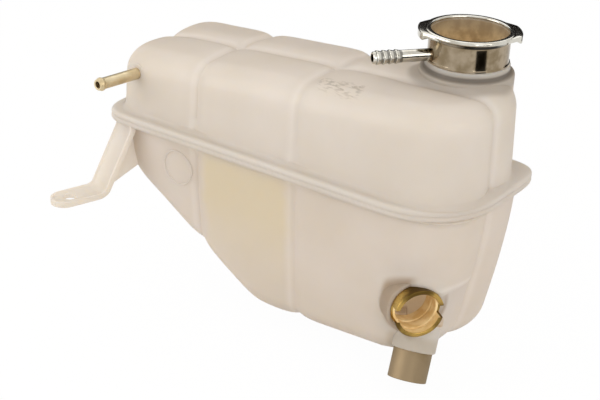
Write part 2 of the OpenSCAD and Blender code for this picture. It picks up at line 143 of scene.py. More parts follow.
def axis_parts(tree, place, fitting):
    """Distance along a fitting's axis, and distance from it, both in mm."""
    origin, axis = tuple(fitting.translation / MM), axis_of(fitting)
    from_mouth = put(tree, "ShaderNodeVectorMath", {0: place, 1: origin}, operation="SUBTRACT")
    dot = put(tree, "ShaderNodeVectorMath", {0: from_mouth, 1: axis}, operation="DOT_PRODUCT")
    along = dot.outputs["Value"]
    foot = put(tree, "ShaderNodeVectorMath", {0: axis, "Scale": along}, operation="SCALE")
    side = put(tree, "ShaderNodeVectorMath", {0: from_mouth, 1: foot}, operation="SUBTRACT")
    return along, put(tree, "ShaderNodeVectorMath", {0: side}, operation="LENGTH").outputs["Value"]


def paint(tree, below, top, mask, strength=1.0):
    """Lays a colour, a hex code or a socket, over another where the mask says."""
    share = worked(tree, mask, ("MULTIPLY", strength))
    above = srgb(top) if isinstance(top, str) else top
    return put(tree, "ShaderNodeMix", {0: share, 6: below, 7: above}, data_type="RGBA").outputs[2]


# %% [markdown]
# ## Moulded polypropylene
# Both shells are natural polypropylene, moulded smooth and left unpainted. It is milky: light goes
# some way in and comes out again, which softens every shadow, and some passes right through the wall
# and fills the hollow. Subsurface scattering gives the first and a share of translucency the second.
# The gloss is low, with the faint peel of a moulded skin, and the colour drifts in wide soft clouds.
#
# Use has marked it. The middle lobe of the lower shell has yellowed under the flange, the top edge
# of the lobe under the neck is scuffed, and the inside of the lower shell and the ways into it hold
# a tan film of dried coolant. A painted shadow lies round the foot of the neck's boss, a brown shade
# on the socket's boss is partly painted shadow and partly the brass showing through, and the sleeve
# shows through its collar as a tan tint.
# %% Marks on the plastic
CLOUD_MM, PEEL_MM, DRIFT_MM = 60.0, 1.6, 25.0
SHADES = (  # fitting, from, to, soft border, outer radius, colour, strength
    # painted shadow under the neck's foot, then a wider, softer painted shade below it
    (NECK, -26.0, -24.8, 1.6, 33.0, "#574e45", 0.72),
    (NECK, -31.0, -25.0, 5.0, 35.0, "#857a6b", 0.42),
    # brown shade on the socket's boss: partly painted shadow, partly the brass showing through
    (SOCKET, -20.0, -10.0, 5.0, 20.0, "#9c7640", 0.60),
    (OUTLET, 0.0, 7.0, 5.0, 16.0, "#c4ab82", 0.30),
)


def yellowed(tree, place, parts):
    """The yellowed lobe, which has a cloudy border and fades towards the floor."""
    drift = put(tree, "ShaderNodeTexNoise", {"Vector": place, "Scale": 1 / DRIFT_MM, "Detail": 2.0})
    x = worked(tree, drift, ("SUBTRACT", 0.5), ("MULTIPLY", 20.0), ("ADD", parts["X"]))
    return all_of(tree, between(tree, x, -150.0, -90.0, 12.0), soft_edge(tree, parts["Z"], -100.0, -112.0),
                  soft_edge(tree, parts["Z"], -213.0, -123.0), soft_edge(tree, parts["Y"], -30.0, -65.0))


def scuffed(tree, place, parts):
    """Fine scratches, drawn out along the top edge of the lobe under the neck."""
    area = all_of(tree, between(tree, parts["X"], -74.0, -44.0, 9.0),
                  between(tree, parts["Z"], -36.0, -20.0, 5.0), between(tree, parts["Y"], -72.0, -58.0, 6.0))
    drawn = put(tree, "ShaderNodeMapping", {
        "Vector": place, "Rotation": (0.0, 0.25, 0.0), "Scale": (0.15, 0.3, 1.1)})
    lines = put(tree, "ShaderNodeTexNoise", {"Vector": drawn, "Scale": 1.0, "Detail": 4.0, "Distortion": 0.6})
    return all_of(tree, area, soft_edge(tree, lines, 0.47, 0.66))


def coated(tree, place, parts):
    """The coolant film: the inner skin, the way through the socket's boss, the collar's inner end."""
    along, away = axis_parts(tree, place, SOCKET)
    way = all_of(tree, between(tree, along, -45.0, -17.5, 0.5), soft_edge(tree, away, 14.2, 13.6))
    along, away = axis_parts(tree, place, OUTLET)
    spout = all_of(tree, soft_edge(tree, along, 18.4, 18.9), soft_edge(tree, away, 15.6, 15.0),
                   soft_edge(tree, parts["Y"], -67.0, -65.5))
    inside = put(tree, "ShaderNodeAttribute", attribute_name="residue").outputs["Fac"]
    return worked(tree, soft_edge(tree, inside, 0.6, 0.95), ("MAXIMUM", way), ("MAXIMUM", spout))


# %% [markdown]
# The pale lines beside the grooves and along the top of the hollow are painted highlights. The
# geometry tree that presses the grooves knows where they are and stores it with the mesh, so the
# material only reads an attribute.
# %% Polypropylene material
def polypropylene():
    material, tree, out = new_material("milky_polypropylene")
    place = object_mm(tree)
    parts = put(tree, "ShaderNodeSeparateXYZ", {0: place}).outputs
    clouds = put(tree, "ShaderNodeTexNoise", {"Vector": place, "Scale": 1 / CLOUD_MM, "Detail": 3.0})
    colour = paint(tree, srgb("#eee7df"), "#e9e1d6", soft_edge(tree, clouds, 0.25, 0.75))
    colour = paint(tree, colour, "#ecdfb8", yellowed(tree, place, parts), 0.5)
    # painted highlight: pale lines beside the grooves and along the top of the hollow
    highlight_lines = put(tree, "ShaderNodeAttribute", attribute_name="rib_root").outputs["Fac"]
    colour = paint(tree, colour, "#fffaf4", highlight_lines, 0.45)
    colour = paint(tree, colour, "#8c8274", scuffed(tree, place, parts), 0.45)
    for fitting, start, end, soft, radius, shade, strength in SHADES:
        along, away = axis_parts(tree, place, fitting)
        near = soft_edge(tree, away, radius + soft, radius)
        ring = all_of(tree, between(tree, along, start, end, soft), near)
        colour = paint(tree, colour, shade, ring, strength)
    colour = paint(tree, colour, "#e4c189", coated(tree, place, parts), 0.4)
    peel = put(tree, "ShaderNodeTexNoise", {"Vector": place, "Scale": 1 / PEEL_MM, "Detail": 2.0})
    bump = put(tree, "ShaderNodeBump", {"Height": peel, "Strength": 0.08, "Distance": 0.3 * MM})
    gloss = put(tree, "ShaderNodeMapRange", {"Value": clouds, "To Min": 0.36, "To Max": 0.46})
    skin = put(tree, "ShaderNodeBsdfPrincipled", {
        "Base Color": colour, "Roughness": gloss, "Normal": bump, "IOR": 1.49, "Subsurface Weight": 0.45,
        "Subsurface Radius": (1.0, 0.82, 0.6), "Subsurface Scale": 12 * MM})
    through = put(tree, "ShaderNodeBsdfTranslucent", {"Color": colour})
    mixed = put(tree, "ShaderNodeMixShader", {0: 0.48, 1: skin, 2: through})
    tree.links.new(mixed.outputs[0], out.inputs["Surface"])
    return material


pp = polypropylene()
print("material:", pp.name)

# %% [markdown]
# ## Metals
# The neck is steel with bright nickel plating: nearly a mirror, with faint polishing haze. The level
# socket is machined brass with fine turning rings. The vent tube is pale brass gone dull, and the
# outlet sleeve is the same kind of metal under a tan skin of oxide. One function makes all four: two
# tones in soft stains, a gloss that varies with them, and either a fine grain or turning rings.
# %% Metal materials
TURNING_MM, GRAIN_MM = 0.5, 0.8


def metal(name, light, dark, rough, stain_mm=14.0, turned=None, strength=0.35):
    """Metal with two tones in soft stains, and turning rings if the fitting they run round is given."""
    material, tree, out = new_material(name)
    place = object_mm(tree)
    stain = put(tree, "ShaderNodeTexNoise", {"Vector": place, "Scale": 1 / stain_mm, "Detail": 5.0})
    gloss = put(tree, "ShaderNodeMapRange", {"Value": stain, "To Min": rough * 0.7, "To Max": rough * 1.4})
    if turned is not None:
        along, _ = axis_parts(tree, place, turned)
        relief = worked(tree, along, ("MULTIPLY", 2 * math.pi / TURNING_MM), ("SINE",))
    else:
        relief = put(tree, "ShaderNodeTexNoise", {"Vector": place, "Scale": 1 / GRAIN_MM, "Detail": 3.0})
    bump = put(tree, "ShaderNodeBump", {"Height": relief, "Strength": strength, "Distance": 0.04 * MM})
    tones = paint(tree, srgb(light), dark, soft_edge(tree, stain, 0.38, 0.66))
    skin = put(tree, "ShaderNodeBsdfPrincipled", {
        "Base Color": tones, "Metallic": 1.0, "Roughness": gloss, "Normal": bump})
    tree.links.new(skin.outputs["BSDF"], out.inputs["Surface"])
    return material, tree, skin


nickel, nickel_tree, nickel_skin = metal("bright_nickel_plate", "#d3d0c6", "#b4aea0", 0.12)
socket_brass, brass_tree, brass_skin = metal("turned_brass", "#b2924f", "#5f4a22", 0.26, turned=SOCKET)
pale_brass, _, _ = metal("pale_dull_brass", "#e2d2b0", "#c9b58e", 0.42)
tan_brass, _, _ = metal("tan_dull_brass", "#958266", "#857252", 0.60, stain_mm=30.0, strength=0.2)
print("metals:", nickel.name, socket_brass.name, pale_brass.name, tan_brass.name)

# %% [markdown]
# Coolant leaves a dull film inside both bores: tan in the neck, amber in the brass socket. Towards
# the mouth the film is darker with painted shade. A film is no metal, so inside the bore the metallic
# share falls, the gloss goes and the colour changes.
# %% Film inside the bores
def repaint(tree, skin, top, mask, strength=1.0):
    """Paints over the colour that a shader already has."""
    base = skin.inputs["Base Color"].links[0].from_socket
    tree.links.new(paint(tree, base, top, mask, strength), skin.inputs["Base Color"])


def coat_bore(tree, skin, fitting, bore, depth, light, dark, mouth_shade):
    """Covers the metal inside a bore with a dry film, more so further in than depth (mm), with painted shade
    near the mouth.
    """
    place = object_mm(tree)
    along, away = axis_parts(tree, place, fitting)
    inside = all_of(tree, soft_edge(tree, away, bore + 0.35, bore - 0.05),
                    soft_edge(tree, along, -depth * 0.1, -depth * 0.35))
    spots = put(tree, "ShaderNodeTexNoise", {"Vector": place, "Scale": 1 / 7.0, "Detail": 4.0})
    film = paint(tree, srgb(light), dark, soft_edge(tree, spots, 0.35, 0.65))
    # painted shade: the film darker towards the mouth, under the rim
    film = paint(tree, film, mouth_shade, soft_edge(tree, along, -depth * 1.7, -depth * 0.3), 0.7)
    repaint(tree, skin, film, inside, 0.95)
    gloss = skin.inputs["Roughness"].links[0].from_socket
    rough = put(tree, "ShaderNodeMix", {0: inside, 2: gloss, 3: 0.55}, data_type="FLOAT")
    tree.links.new(rough.outputs[0], skin.inputs["Roughness"])
    bare = put(tree, "ShaderNodeMapRange", {"Value": inside, "To Min": 1.0, "To Max": 0.0})
    tree.links.new(bare.outputs["Result"], skin.inputs["Metallic"])


# %% [markdown]
# Outside, the neck's plating has a tan tint below the rim. Black is painted in the crevice under the
# roll as shade and dark reflection, most of all towards one side, and as shade in the valleys between
# the barbs of the overflow tube.
# %% Tarnish and painted shade on the neck
SHADED_SIDE = (0.719, -0.695, 0.0)


def tarnish_and_painted_shade(tree, skin):
    """Tan tint on the neck's outside, and black painted shade in the crevice under the roll and between the
    barbs.
    """
    place = object_mm(tree)
    along, away = axis_parts(tree, place, NECK)
    outside = between(tree, away, 25.9, 27.6, 0.3)
    drift = put(tree, "ShaderNodeTexNoise", {"Vector": place, "Scale": 1 / 9.0, "Detail": 3.0})
    tan = paint(tree, srgb("#a59680"), "#84745b", soft_edge(tree, drift, 0.35, 0.65))
    repaint(tree, skin, tan, all_of(tree, outside, between(tree, along, -20.3, -5.0, 0.9)))
    toward = put(tree, "ShaderNodeVectorMath", {0: place, 1: SHADED_SIDE}, operation="DOT_PRODUCT")
    turn = worked(tree, toward.outputs["Value"], ("DIVIDE", away))
    side = put(tree, "ShaderNodeMapRange",
               {"Value": turn, "From Min": 0.80, "From Max": 0.93, "To Min": 0.3, "To Max": 0.95})
    shaded_crevice = all_of(tree, outside, between(tree, along, -4.8, -3.0, 0.7), side)
    # painted shade and dark reflection in the crevice, strongest on one side
    repaint(tree, skin, "#15130f", shaded_crevice)
    along, away = axis_parts(tree, place, SPILL)
    shaded_valleys = all_of(tree, between(tree, along, 46.0, 63.0, 0.5), between(tree, away, 3.9, 4.15, 0.2))
    # painted shade in the valleys between the barbs
    repaint(tree, skin, "#1d1b17", shaded_valleys, 0.6)


tarnish_and_painted_shade(nickel_tree, nickel_skin)
coat_bore(nickel_tree, nickel_skin, NECK, 25.0, 9.0, "#d8bb88", "#b09264", "#6f5c42")
coat_bore(brass_tree, brass_skin, SOCKET, 15.4, 3.0, "#fae2b0", "#e6c486", "#dcb876")
print("nodes in the neck's finish:", len(nickel_tree.nodes))

# %% [markdown]
# ## The lobed shells
# One rule makes both shells. Columns run round the outline of the tank and rows climb from the weld
# flange over the wall, round the corner and in to the centre line, so the grid follows the skin as a
# cloth would. The outline is a pair of straight sides closed by superellipse ends, which are squarer
# than a circle. Heights are counted from the weld, and the neck's axis is x = 0.
# %% Tank plan and outline
HALF_W = 58.0
WALL_W, WALL_NOSE, WALL_TAIL = 51.0, 53.5, 40.0
NOSE_X, TAIL_X, FLANGE_NEAR, FLANGE_FAR = -11.0, -197.0, 47.0, 244.0
NOSE_LEN, TAIL_LEN = 58.0, 47.0
GROOVES = (-80.0, -163.0)
NECK_Y, MOUTH_Z, NECK_LEN = 27.0, 98.0, 21.0
LID_H, LID_FALL, LID_R, LID_DRAFT = 66.5, 18.0, 17.0, 2.0
SUMP_D, TAIL_D, SUMP_LEN, SUMP_R, SUMP_DRAFT, NOSE_DRAFT = 121.5, 36.5, 116.0, 19.0, 9.0, 10.0
LIP_H, WALL, CROWN = 4.2, 3.0, 2.0
LAYOUT = frame_matrix((0, -NECK_Y, -MOUTH_Z))


def super_r(angle, length, half, power):
    """Radius of a rounded end at an angle, with its length, half width and squareness."""
    along, across = np.abs(np.cos(angle)) / length, np.abs(np.sin(angle)) / half
    return (along ** power + across ** power) ** (-1 / power)


def ends(angle, nose, tail, half):
    """Radius of the nose, of the tail, or of the straight side, by the angle."""
    return np.where(np.cos(angle) > 1e-6, nose, np.where(np.cos(angle) < -1e-6, tail, half))


def wall_radius(angle, low):
    power = np.where(low & (np.sin(angle) > 0), 4.2, 2.9)
    nose = super_r(angle, WALL_NOSE, WALL_W, power)
    return ends(angle, nose, super_r(angle, WALL_TAIL, WALL_W, 4.5), WALL_W)


def flange_radius(angle):
    nose = super_r(angle, NOSE_LEN, HALF_W, np.where(np.sin(angle) < 0, 2.3, 7.0))
    return ends(angle, nose, super_r(angle, TAIL_LEN, HALF_W, 5.5), HALF_W)


def plan_columns(step):
    """Columns round the tank: x on the centre line, and the direction that the skin lies in."""
    run = np.linspace(TAIL_X, NOSE_X, round((NOSE_X - TAIL_X) / step) + 1)
    fan = np.radians(np.linspace(-90, 90, round(160 / step) + 1)[1:-1])
    x = np.concatenate([run, np.full(len(fan), NOSE_X), run[::-1], np.full(len(fan), TAIL_X)])
    near, far = np.full(len(run), -math.pi / 2), np.full(len(run), math.pi / 2)
    return x, np.concatenate([near, fan, far, fan + math.pi])


print("columns round the tank:", len(plan_columns(2.0)[0]))

# %% [markdown]
# The lid falls evenly towards the far end. The floor runs nearly level under the neck and climbs to
# the far end, where only a shallow belly is left. A smooth minimum joins the two without a crease.
# %% Heights of lid and floor
FLOOR_RISE, FLOOR_BLEND = 8.0, 6.0


def smooth_min(a, b, k):
    return (a + b - np.sqrt((a - b) ** 2 + k * k)) / 2


def rise_smooth(t):
    q = np.clip(t, 0, 1)
    return q * q * (3 - 2 * q)


def height(x, low):
    if not low:
        return LID_H + LID_FALL * x / FLANGE_FAR
    ramp = TAIL_D + (SUMP_D - TAIL_D) * (x + FLANGE_FAR) / (FLANGE_FAR - SUMP_LEN)
    rise = FLOOR_RISE * np.maximum(0, x + SUMP_LEN) / (SUMP_LEN + FLANGE_NEAR)
    return smooth_min(ramp, SUMP_D, FLOOR_BLEND) - rise


print("at the neck: lid", height(0.0, False), "mm up, floor", round(float(height(0.0, True)), 1), "mm down")

# %% [markdown]
# A row's height depends on where the lid or the floor is at the row's own place, and that place
# depends on how far the draft has brought the wall in by that height. A few rounds settle the two.
# Each row also says which way the grooves press there: inwards on the wall, down on the lid.
# %% One row of the skin
def skin_rows(x0, angle, kind, value, low, inset):
    """One ring of the skin: its points, the press direction, a share near the weld, and how far up."""
    corner = SUMP_R if low else LID_R
    lean = SUMP_DRAFT + NOSE_DRAFT * np.maximum(0, np.cos(angle)) if low else LID_DRAFT
    start = LIP_H + 2.6
    w = wall_radius(angle, low) - inset
    full = height(x0 + w * np.cos(angle), low) - inset
    for _ in range(4):
        if kind == "wall":
            z = start + (full - corner - start) * value if value >= 0 else 0 * full
            turned, out, rise, k = 0.0, 1.0, 0.0, 1.0
        elif kind == "arc":
            z = full - corner * (1 - math.sin(value))
            turned, out, rise, k = corner * (1 - math.cos(value)), math.cos(value), math.sin(value), 1.0
        else:
            z, turned, out, rise, k = full, corner, 0.0, 1.0, value
        up = np.clip((z - start) / (full - start), 0, 1)
        r = (w - lean * up ** (1.5 if low else 1) - turned) * k
        full = height(x0 + r * np.cos(angle), low) - inset
    x, y = x0 + r * np.cos(angle), r * np.sin(angle)
    if kind == "top":
        z = height(x, low) - inset + CROWN * (1 - k * k)
    press = np.stack([-out * np.cos(angle), -out * np.sin(angle), np.full_like(x, -rise)], 1)
    near_weld = np.clip(0.45 + 0.55 * (z - start) / 7, 0.45, 1) if kind == "wall" else np.ones_like(x)
    return np.stack([x, y, z], 1), press, near_weld, up


# %% [markdown]
# The weld flange is two flat ledges, one on each half, whose outer edges are rounded. Its rows are a
# small section swept round the outline. The hollow that the level socket stands in, under the neck
# end, is pressed in with the grooves, and the skin rises in a soft curve where it meets a boss.
# %% Flange, hollow and flares
def flange_rows(x0, angle, low):
    edge, root = flange_radius(angle), wall_radius(angle, low) + 2.0
    section = [(edge - 0.4, 0.0), (edge - 0.3, 0.25), (edge - 0.1, 0.8), (edge, 1.4), (edge - 0.04, 2.2),
               (edge - 0.3, 3.0), (edge - 0.85, 3.7), (edge - 1.6, 4.1), ((edge + root) / 2, LIP_H + 0.05),
               (root + 1.0, LIP_H + 0.2), (root - 0.1, LIP_H + 0.6), (root - 1.1, LIP_H + 1.5)]
    return [np.stack([x0 + r * np.cos(angle), r * np.sin(angle), np.full_like(angle, z)], 1)
            for r, z in section]


def flare(distance, radius, reach, rise):
    """Rise of the skin towards a boss, so that it meets the boss in a soft curve."""
    return rise * np.clip(1 - (distance - radius) / reach, 0, 1) ** 2


def belly_hollow(p, d, low):
    """Depth of the hollow round the level socket, less the flares at the bosses' feet."""
    x, y, z = p.T
    if not low:
        return -flare(np.hypot(x, y - NECK_Y), 30.0, 12.0, 3.0) * d[:, 2] ** 2 * (z > 40)
    hollow = 3.4 * rise_smooth((z - 56) / 7) * rise_smooth((x - 8) / 18) * rise_smooth(-y / 14)
    from_mouth = np.stack([x, y - NECK_Y, -z - MOUTH_Z], 1) - np.array(SOCKET.translation) / MM
    along = from_mouth @ np.array(axis_of(SOCKET))
    away = np.linalg.norm(from_mouth - along[:, None] * np.array(axis_of(SOCKET)), axis=1)
    return hollow - flare(away, 19.0, 10.0, 2.6) * (along > -50)


def belly_edge(p, low):
    """Share of the painted highlight along the top of the hollow."""
    x, y, z = p.T
    return low * np.exp(-((z - 56.5) / 2.0) ** 2) * rise_smooth((x - 14) / 12) * rise_smooth(-y / 14)


# %% [markdown]
# The outer skin has fine rows, because the light reads every wave in it. The inner skin is one wall
# further in, with the same columns and few rows, and a last band joins the two at the weld face. The
# values that the groove tree and the plastic need go with the points: how much of each groove falls
# on a point, the hollow, how wide the grooves run, the painted highlight, and which points are inside.
# %% Skin of one half
WALL_ROWS, CORNER_ROWS, TOP_ROWS, FLANGE_ROWS = 30, 13, 30, 12


def half_skin(low, step):
    """Points in mm from the weld plane, faces, press directions and stored values of one half."""
    x0, angle = plan_columns(step)
    n = len(x0)
    rings = flange_rows(x0, angle, low)
    press = [np.zeros((n, 3)) for _ in rings]
    stored = {key: [np.full(n, value) for _ in rings]
              for key, value in (("cross_share", 0.0), ("hollow", 0.0), ("widen", 1.0), ("belly_edge", 0.0))}
    outer = [("wall", v) for v in np.linspace(0, 1, WALL_ROWS)[:-1]]
    outer += [("arc", a) for a in np.linspace(0, math.pi / 2, CORNER_ROWS)]
    outer += [("top", k) for k in np.linspace(1, 0, TOP_ROWS)[1:]]
    inner = [("wall", v) for v in (-1, 0.1, 0.5)] + [("arc", a) for a in np.linspace(0, math.pi / 2, 5)]
    inner += [("top", k) for k in (0.75, 0.5, 0.25, 0.0)]
    n_out = FLANGE_ROWS + len(outer)
    for kind, value in outer + inner:
        inside = len(rings) >= n_out
        p, d, near, up = skin_rows(x0, angle, kind, value, low, WALL if inside else 0.0)
        rings.append(p)
        press.append(d)
        stored["cross_share"].append(near * (1.6 - 0.7 * up if low else 1.15))
        stored["hollow"].append(belly_hollow(p, d, low) * MM)
        stored["widen"].append(1 + (0.9 if low else 0.4) * np.exp(-np.clip(p[:, 2] - LIP_H, 0, None) / 6))
        stored["belly_edge"].append(belly_edge(p, low) * (not inside))
    faces = []

    def band(a, b, flip):
        for i in range(n):
            j = (i + 1) % n
            quad = [a * n + i, a * n + j, b * n + j, b * n + i]
            faces.append(quad[::-1] if flip else quad)

    for j in range(n_out - 1):
        band(j, j + 1, low)
    for j in range(n_out, len(rings) - 1):
        band(j, j + 1, not low)
    band(n_out, 0, low)
    points, press = np.concatenate(rings), np.concatenate(press)
    if low:
        points[:, 2] *= -1
        press[:, 2] *= -1
    stored = {key: np.concatenate(rows) for key, rows in stored.items()}
    stored["residue"] = np.repeat(np.arange(len(rings)) >= n_out, n) * float(low)
    return points, faces, press, stored


print("rows of the outer skin:", FLANGE_ROWS + WALL_ROWS + CORNER_ROWS + TOP_ROWS - 2)

# %% [markdown]
# ## Pressing in the grooves
# The grooves follow one rule: their depth falls off from the groove's line as the exponential of a
# power of the distance, which gives two round shoulders with a narrow valley between them. A
# Geometry Nodes tree applies it, with the places, depths and reach as its inputs, and moves each
# point along the press direction stored with the mesh. The centre groove bows out round the neck's
# boss. Every tree ends by making instances real, which the export needs, and by its material.
# %% Helpers for geometry trees
def new_tree(name, source, inputs, result):
    """A geometry tree with named inputs: the tree, its input sockets and their identifiers."""
    tree = bpy.data.node_groups.new(name, "GeometryNodeTree")
    tree.interface.new_socket(name=source, in_out="INPUT", socket_type="NodeSocketGeometry")
    ids = {}
    for key, (kind, value) in inputs.items():
        socket = tree.interface.new_socket(name=key, in_out="INPUT", socket_type="NodeSocket" + kind)
        if value is not None:
            socket.default_value = value
        ids[key] = socket.identifier
    tree.interface.new_socket(name=result, in_out="OUTPUT", socket_type="NodeSocketGeometry")
    return tree, put(tree, "NodeGroupInput").outputs, ids


def end_tree(tree, geometry, finish):
    """Makes instances real, gives the material and links the result."""
    real = put(tree, "GeometryNodeRealizeInstances", {0: geometry})
    done = put(tree, "GeometryNodeSetMaterial", {"Geometry": real, "Material": finish})
    put(tree, "NodeGroupOutput", {0: done})


def to_plain(obj):
    """The evaluated object as a plain mesh object, in place of the one with modifiers."""
    graph = bpy.context.evaluated_depsgraph_get()
    mesh = bpy.data.meshes.new_from_object(obj.evaluated_get(graph), depsgraph=graph)
    name = obj.name
    bpy.data.objects.remove(obj)
    plain = bpy.data.objects.new(name, mesh)
    mesh.name = name
    bpy.context.collection.objects.link(plain)
    return plain


def run_tree(obj, tree, ids, values):
    """Runs a tree on an object with its inputs set by identifier, and keeps the plain result."""
    modifier = obj.modifiers.new(tree.name, "NODES")
    modifier.node_group = tree
    for key, value in values.items():
        modifier[ids[key]] = value
    return to_plain(obj)


# %% Groove tree
def fall(tree, distance, reach, power):
    """1 on a line, falling to 0 beside it as the exponential of a power of the distance."""
    return worked(tree, distance, ("ABSOLUTE",), ("DIVIDE", reach), ("POWER", power),
                  ("MULTIPLY", -1.0), ("EXPONENT",))


def groove_tree():
    sizes = {"Cross 1": GROOVES[0], "Cross 2": GROOVES[1], "Cross depth": 3.0, "Centre depth": 4.0,
             "Reach": 5.5, "Bow": 0.0, "Bow reach": 30.0, "Root beside": 3.0, "Root width": 2.3}
    inputs = {key: ("Float", size * MM) for key, size in sizes.items()}
    inputs |= {"Power": ("Float", 1.3), "Finish": ("Material", None)}
    tree, given, ids = new_tree("press_grooves", "Skin", inputs, "Shell")
    place = put(tree, "ShaderNodeSeparateXYZ", {0: put(tree, "GeometryNodeInputPosition")}).outputs

    def stored(name, kind="FLOAT"):
        return put(tree, "GeometryNodeInputNamedAttribute", {"Name": name}, data_type=kind).outputs[0]

    reach = worked(tree, given["Reach"], ("MULTIPLY", stored("widen")))
    crosses = [worked(tree, place["X"], ("SUBTRACT", given[key])) for key in ("Cross 1", "Cross 2")]
    bow = worked(tree, fall(tree, place["X"], given["Bow reach"], 2.0), ("MULTIPLY", given["Bow"]))
    centre = worked(tree, place["Y"], ("ADD", NECK_Y * MM), ("ADD", bow))
    cross_falls = [fall(tree, line, reach, given["Power"]) for line in crosses]
    across = worked(tree, cross_falls[0], ("ADD", cross_falls[1]), ("MULTIPLY", given["Cross depth"]),
                    ("MULTIPLY", stored("cross_share")))
    depth = worked(tree, fall(tree, centre, reach, given["Power"]), ("MULTIPLY", given["Centre depth"]),
                   ("MULTIPLY", stored("centre_share")), ("ADD", across), ("ADD", stored("hollow")))
    # painted highlight lines, a little beside each groove, stored for the plastic's colour
    beside = [worked(tree, line, ("ADD", given["Root beside"])) for line in crosses]
    beside.append(worked(tree, centre, ("SUBTRACT", given["Root beside"])))
    highlight_lines = [fall(tree, line, given["Root width"], 2.0) for line in beside]
    outside = worked(tree, stored("cross_share"), ("GREATER_THAN", 0.0))
    # painted highlight along the top of the hollow, joined to the groove lines
    edge = worked(tree, stored("belly_edge"), ("MULTIPLY", 2.0))
    root = worked(tree, highlight_lines[0], ("MAXIMUM", highlight_lines[1]), ("MAXIMUM", highlight_lines[2]),
                  ("MULTIPLY", outside), ("MAXIMUM", edge))
    press = stored("press", "FLOAT_VECTOR")
    offset = put(tree, "ShaderNodeVectorMath", {0: press, "Scale": depth}, operation="SCALE")
    moved = put(tree, "GeometryNodeSetPosition", {"Geometry": given["Skin"], "Offset": offset})
    marked = put(tree, "GeometryNodeStoreNamedAttribute", {
        "Geometry": moved, "Name": "rib_root", "Value": root}, data_type="FLOAT", domain="POINT")
    end_tree(tree, marked, given["Finish"])
    return tree, ids


grooves, groove_ids = groove_tree()
print("groove inputs:", ", ".join(groove_ids))

# %% [markdown]
# A mesh object is made from points in millimetres and a matrix that sets it in the frame. The skin's
# rows close to a line on the crest of the lid and the floor, so doubles are merged there before the
# normals are turned outwards.
# %% Finished halves
def mesh_object(name, points, faces, matrix):
    """A mesh object from points in mm, set in the frame."""
    mesh = bpy.data.meshes.new(name)
    mesh.from_pydata([tuple(p) for p in points], [], faces)
    mesh.transform(matrix)
    obj = bpy.data.objects.new(name, mesh)
    bpy.context.collection.objects.link(obj)
    return obj


def outwards(obj, merge=0.0):
    """Merges doubles closer than merge (metres) and turns the faces outwards."""
    bm = bmesh.new()
    bm.from_mesh(obj.data)
    if merge:
        bmesh.ops.remove_doubles(bm, verts=bm.verts, dist=merge)
    bmesh.ops.recalc_face_normals(bm, faces=bm.faces)
    bm.to_mesh(obj.data)
    bm.free()
    return obj


def pressed_half(name, low, step=2.0):
    """One finished skin: half skin, its stored values, and the groove tree applied."""
    points, faces, press, stored = half_skin(low, step)
    share = stored["cross_share"]
    stored["centre_share"] = (share > 0) * np.clip(share * 2, 0, 1)
    obj = mesh_object(name, points, faces, LAYOUT)
    for key, values in stored.items():
        obj.data.attributes.new(key, "FLOAT", "POINT").data.foreach_set("value", values)
    obj.data.attributes.new("press", "FLOAT_VECTOR", "POINT").data.foreach_set("vector", press.ravel())
    bow = 0.0 if low else 7.0 * MM
    return outwards(run_tree(obj, grooves, groove_ids, {"Finish": pp, "Bow": bow}), 0.02 * MM)


lid = pressed_half("lid_shell", False)
sump = pressed_half("sump_shell", True)
print("lid faces:", len(lid.data.polygons), "sump faces:", len(sump.data.polygons))

# %% [markdown]
# ## Turned pieces and holes
# Necks, sleeves, nipples and bosses are all turned, so one function spins a closed section of
# (radius, height) points round its axis. Holes are round cutters taken away with the Boolean
# modifier, and bosses are joined with it. Its manifold solver is quick and keeps the stored values.
# %% Lathe, cutters and joining
def spun(name, section, matrix, sides=128, bevel=0.0):
    """A closed section spun round z; its sharp edges may get a small round (mm)."""
    n = len(section)
    turns = [2 * math.pi * i / sides for i in range(sides)]
    points = [(r * math.cos(t), r * math.sin(t), z) for t in turns for r, z in section]
    faces = [(i * n + j, ((i + 1) % sides) * n + j, ((i + 1) % sides) * n + (j + 1) % n, i * n + (j + 1) % n)
             for i in range(sides) for j in range(n)]
    obj = outwards(mesh_object(name, points, faces, matrix))
    if bevel:
        modifier = obj.modifiers.new("rounding", "BEVEL")
        modifier.width, modifier.segments, modifier.limit_method = bevel * MM, 3, "ANGLE"
        modifier.angle_limit = math.radians(25)
        obj = to_plain(obj)
    return obj


def ring_faces(count, n):
    """Quads between rings of n points, and a face at each end."""
    faces = [(i * n + j, i * n + (j + 1) % n, (i + 1) * n + (j + 1) % n, (i + 1) * n + j)
             for i in range(count - 1) for j in range(n)]
    return faces + [tuple(range(n))[::-1], tuple(range((count - 1) * n, count * n))]


def cutter(name, r, z0, z1, matrix, sides=96):
    """A plain round cutter between two heights."""
    turns = [2 * math.pi * i / sides for i in range(sides)]
    points = [(r * math.cos(t), r * math.sin(t), z) for z in (z0, z1) for t in turns]
    return mesh_object(name, points, ring_faces(2, sides), matrix)


def combine(obj, others, operation):
    """Joins or cuts obj with each of the others, which are then removed."""
    for other in others:
        modifier = obj.modifiers.new(operation, "BOOLEAN")
        modifier.operation, modifier.object, modifier.solver = operation, other, "MANIFOLD"
        graph = bpy.context.evaluated_depsgraph_get()
        mesh = bpy.data.meshes.new_from_object(obj.evaluated_get(graph), depsgraph=graph)
        obj.modifiers.remove(modifier)
        print(" ", operation, other.name, len(obj.data.polygons), "->", len(mesh.polygons))
        obj.data = mesh
        bpy.data.objects.remove(other)
    return obj


def finish_piece(obj, material, node, angle=32):
    """Smooth shading with its true edges kept, one material, the root body as parent, and the CAD node
    hidden.
    """
    obj.data.materials.clear()
    obj.data.materials.append(material)
    obj.data.shade_smooth()
    obj.data.set_sharp_from_angle(angle=math.radians(angle))
    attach(obj, "root")
    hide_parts(node)
    print(obj.name, len(obj.data.polygons), "faces")


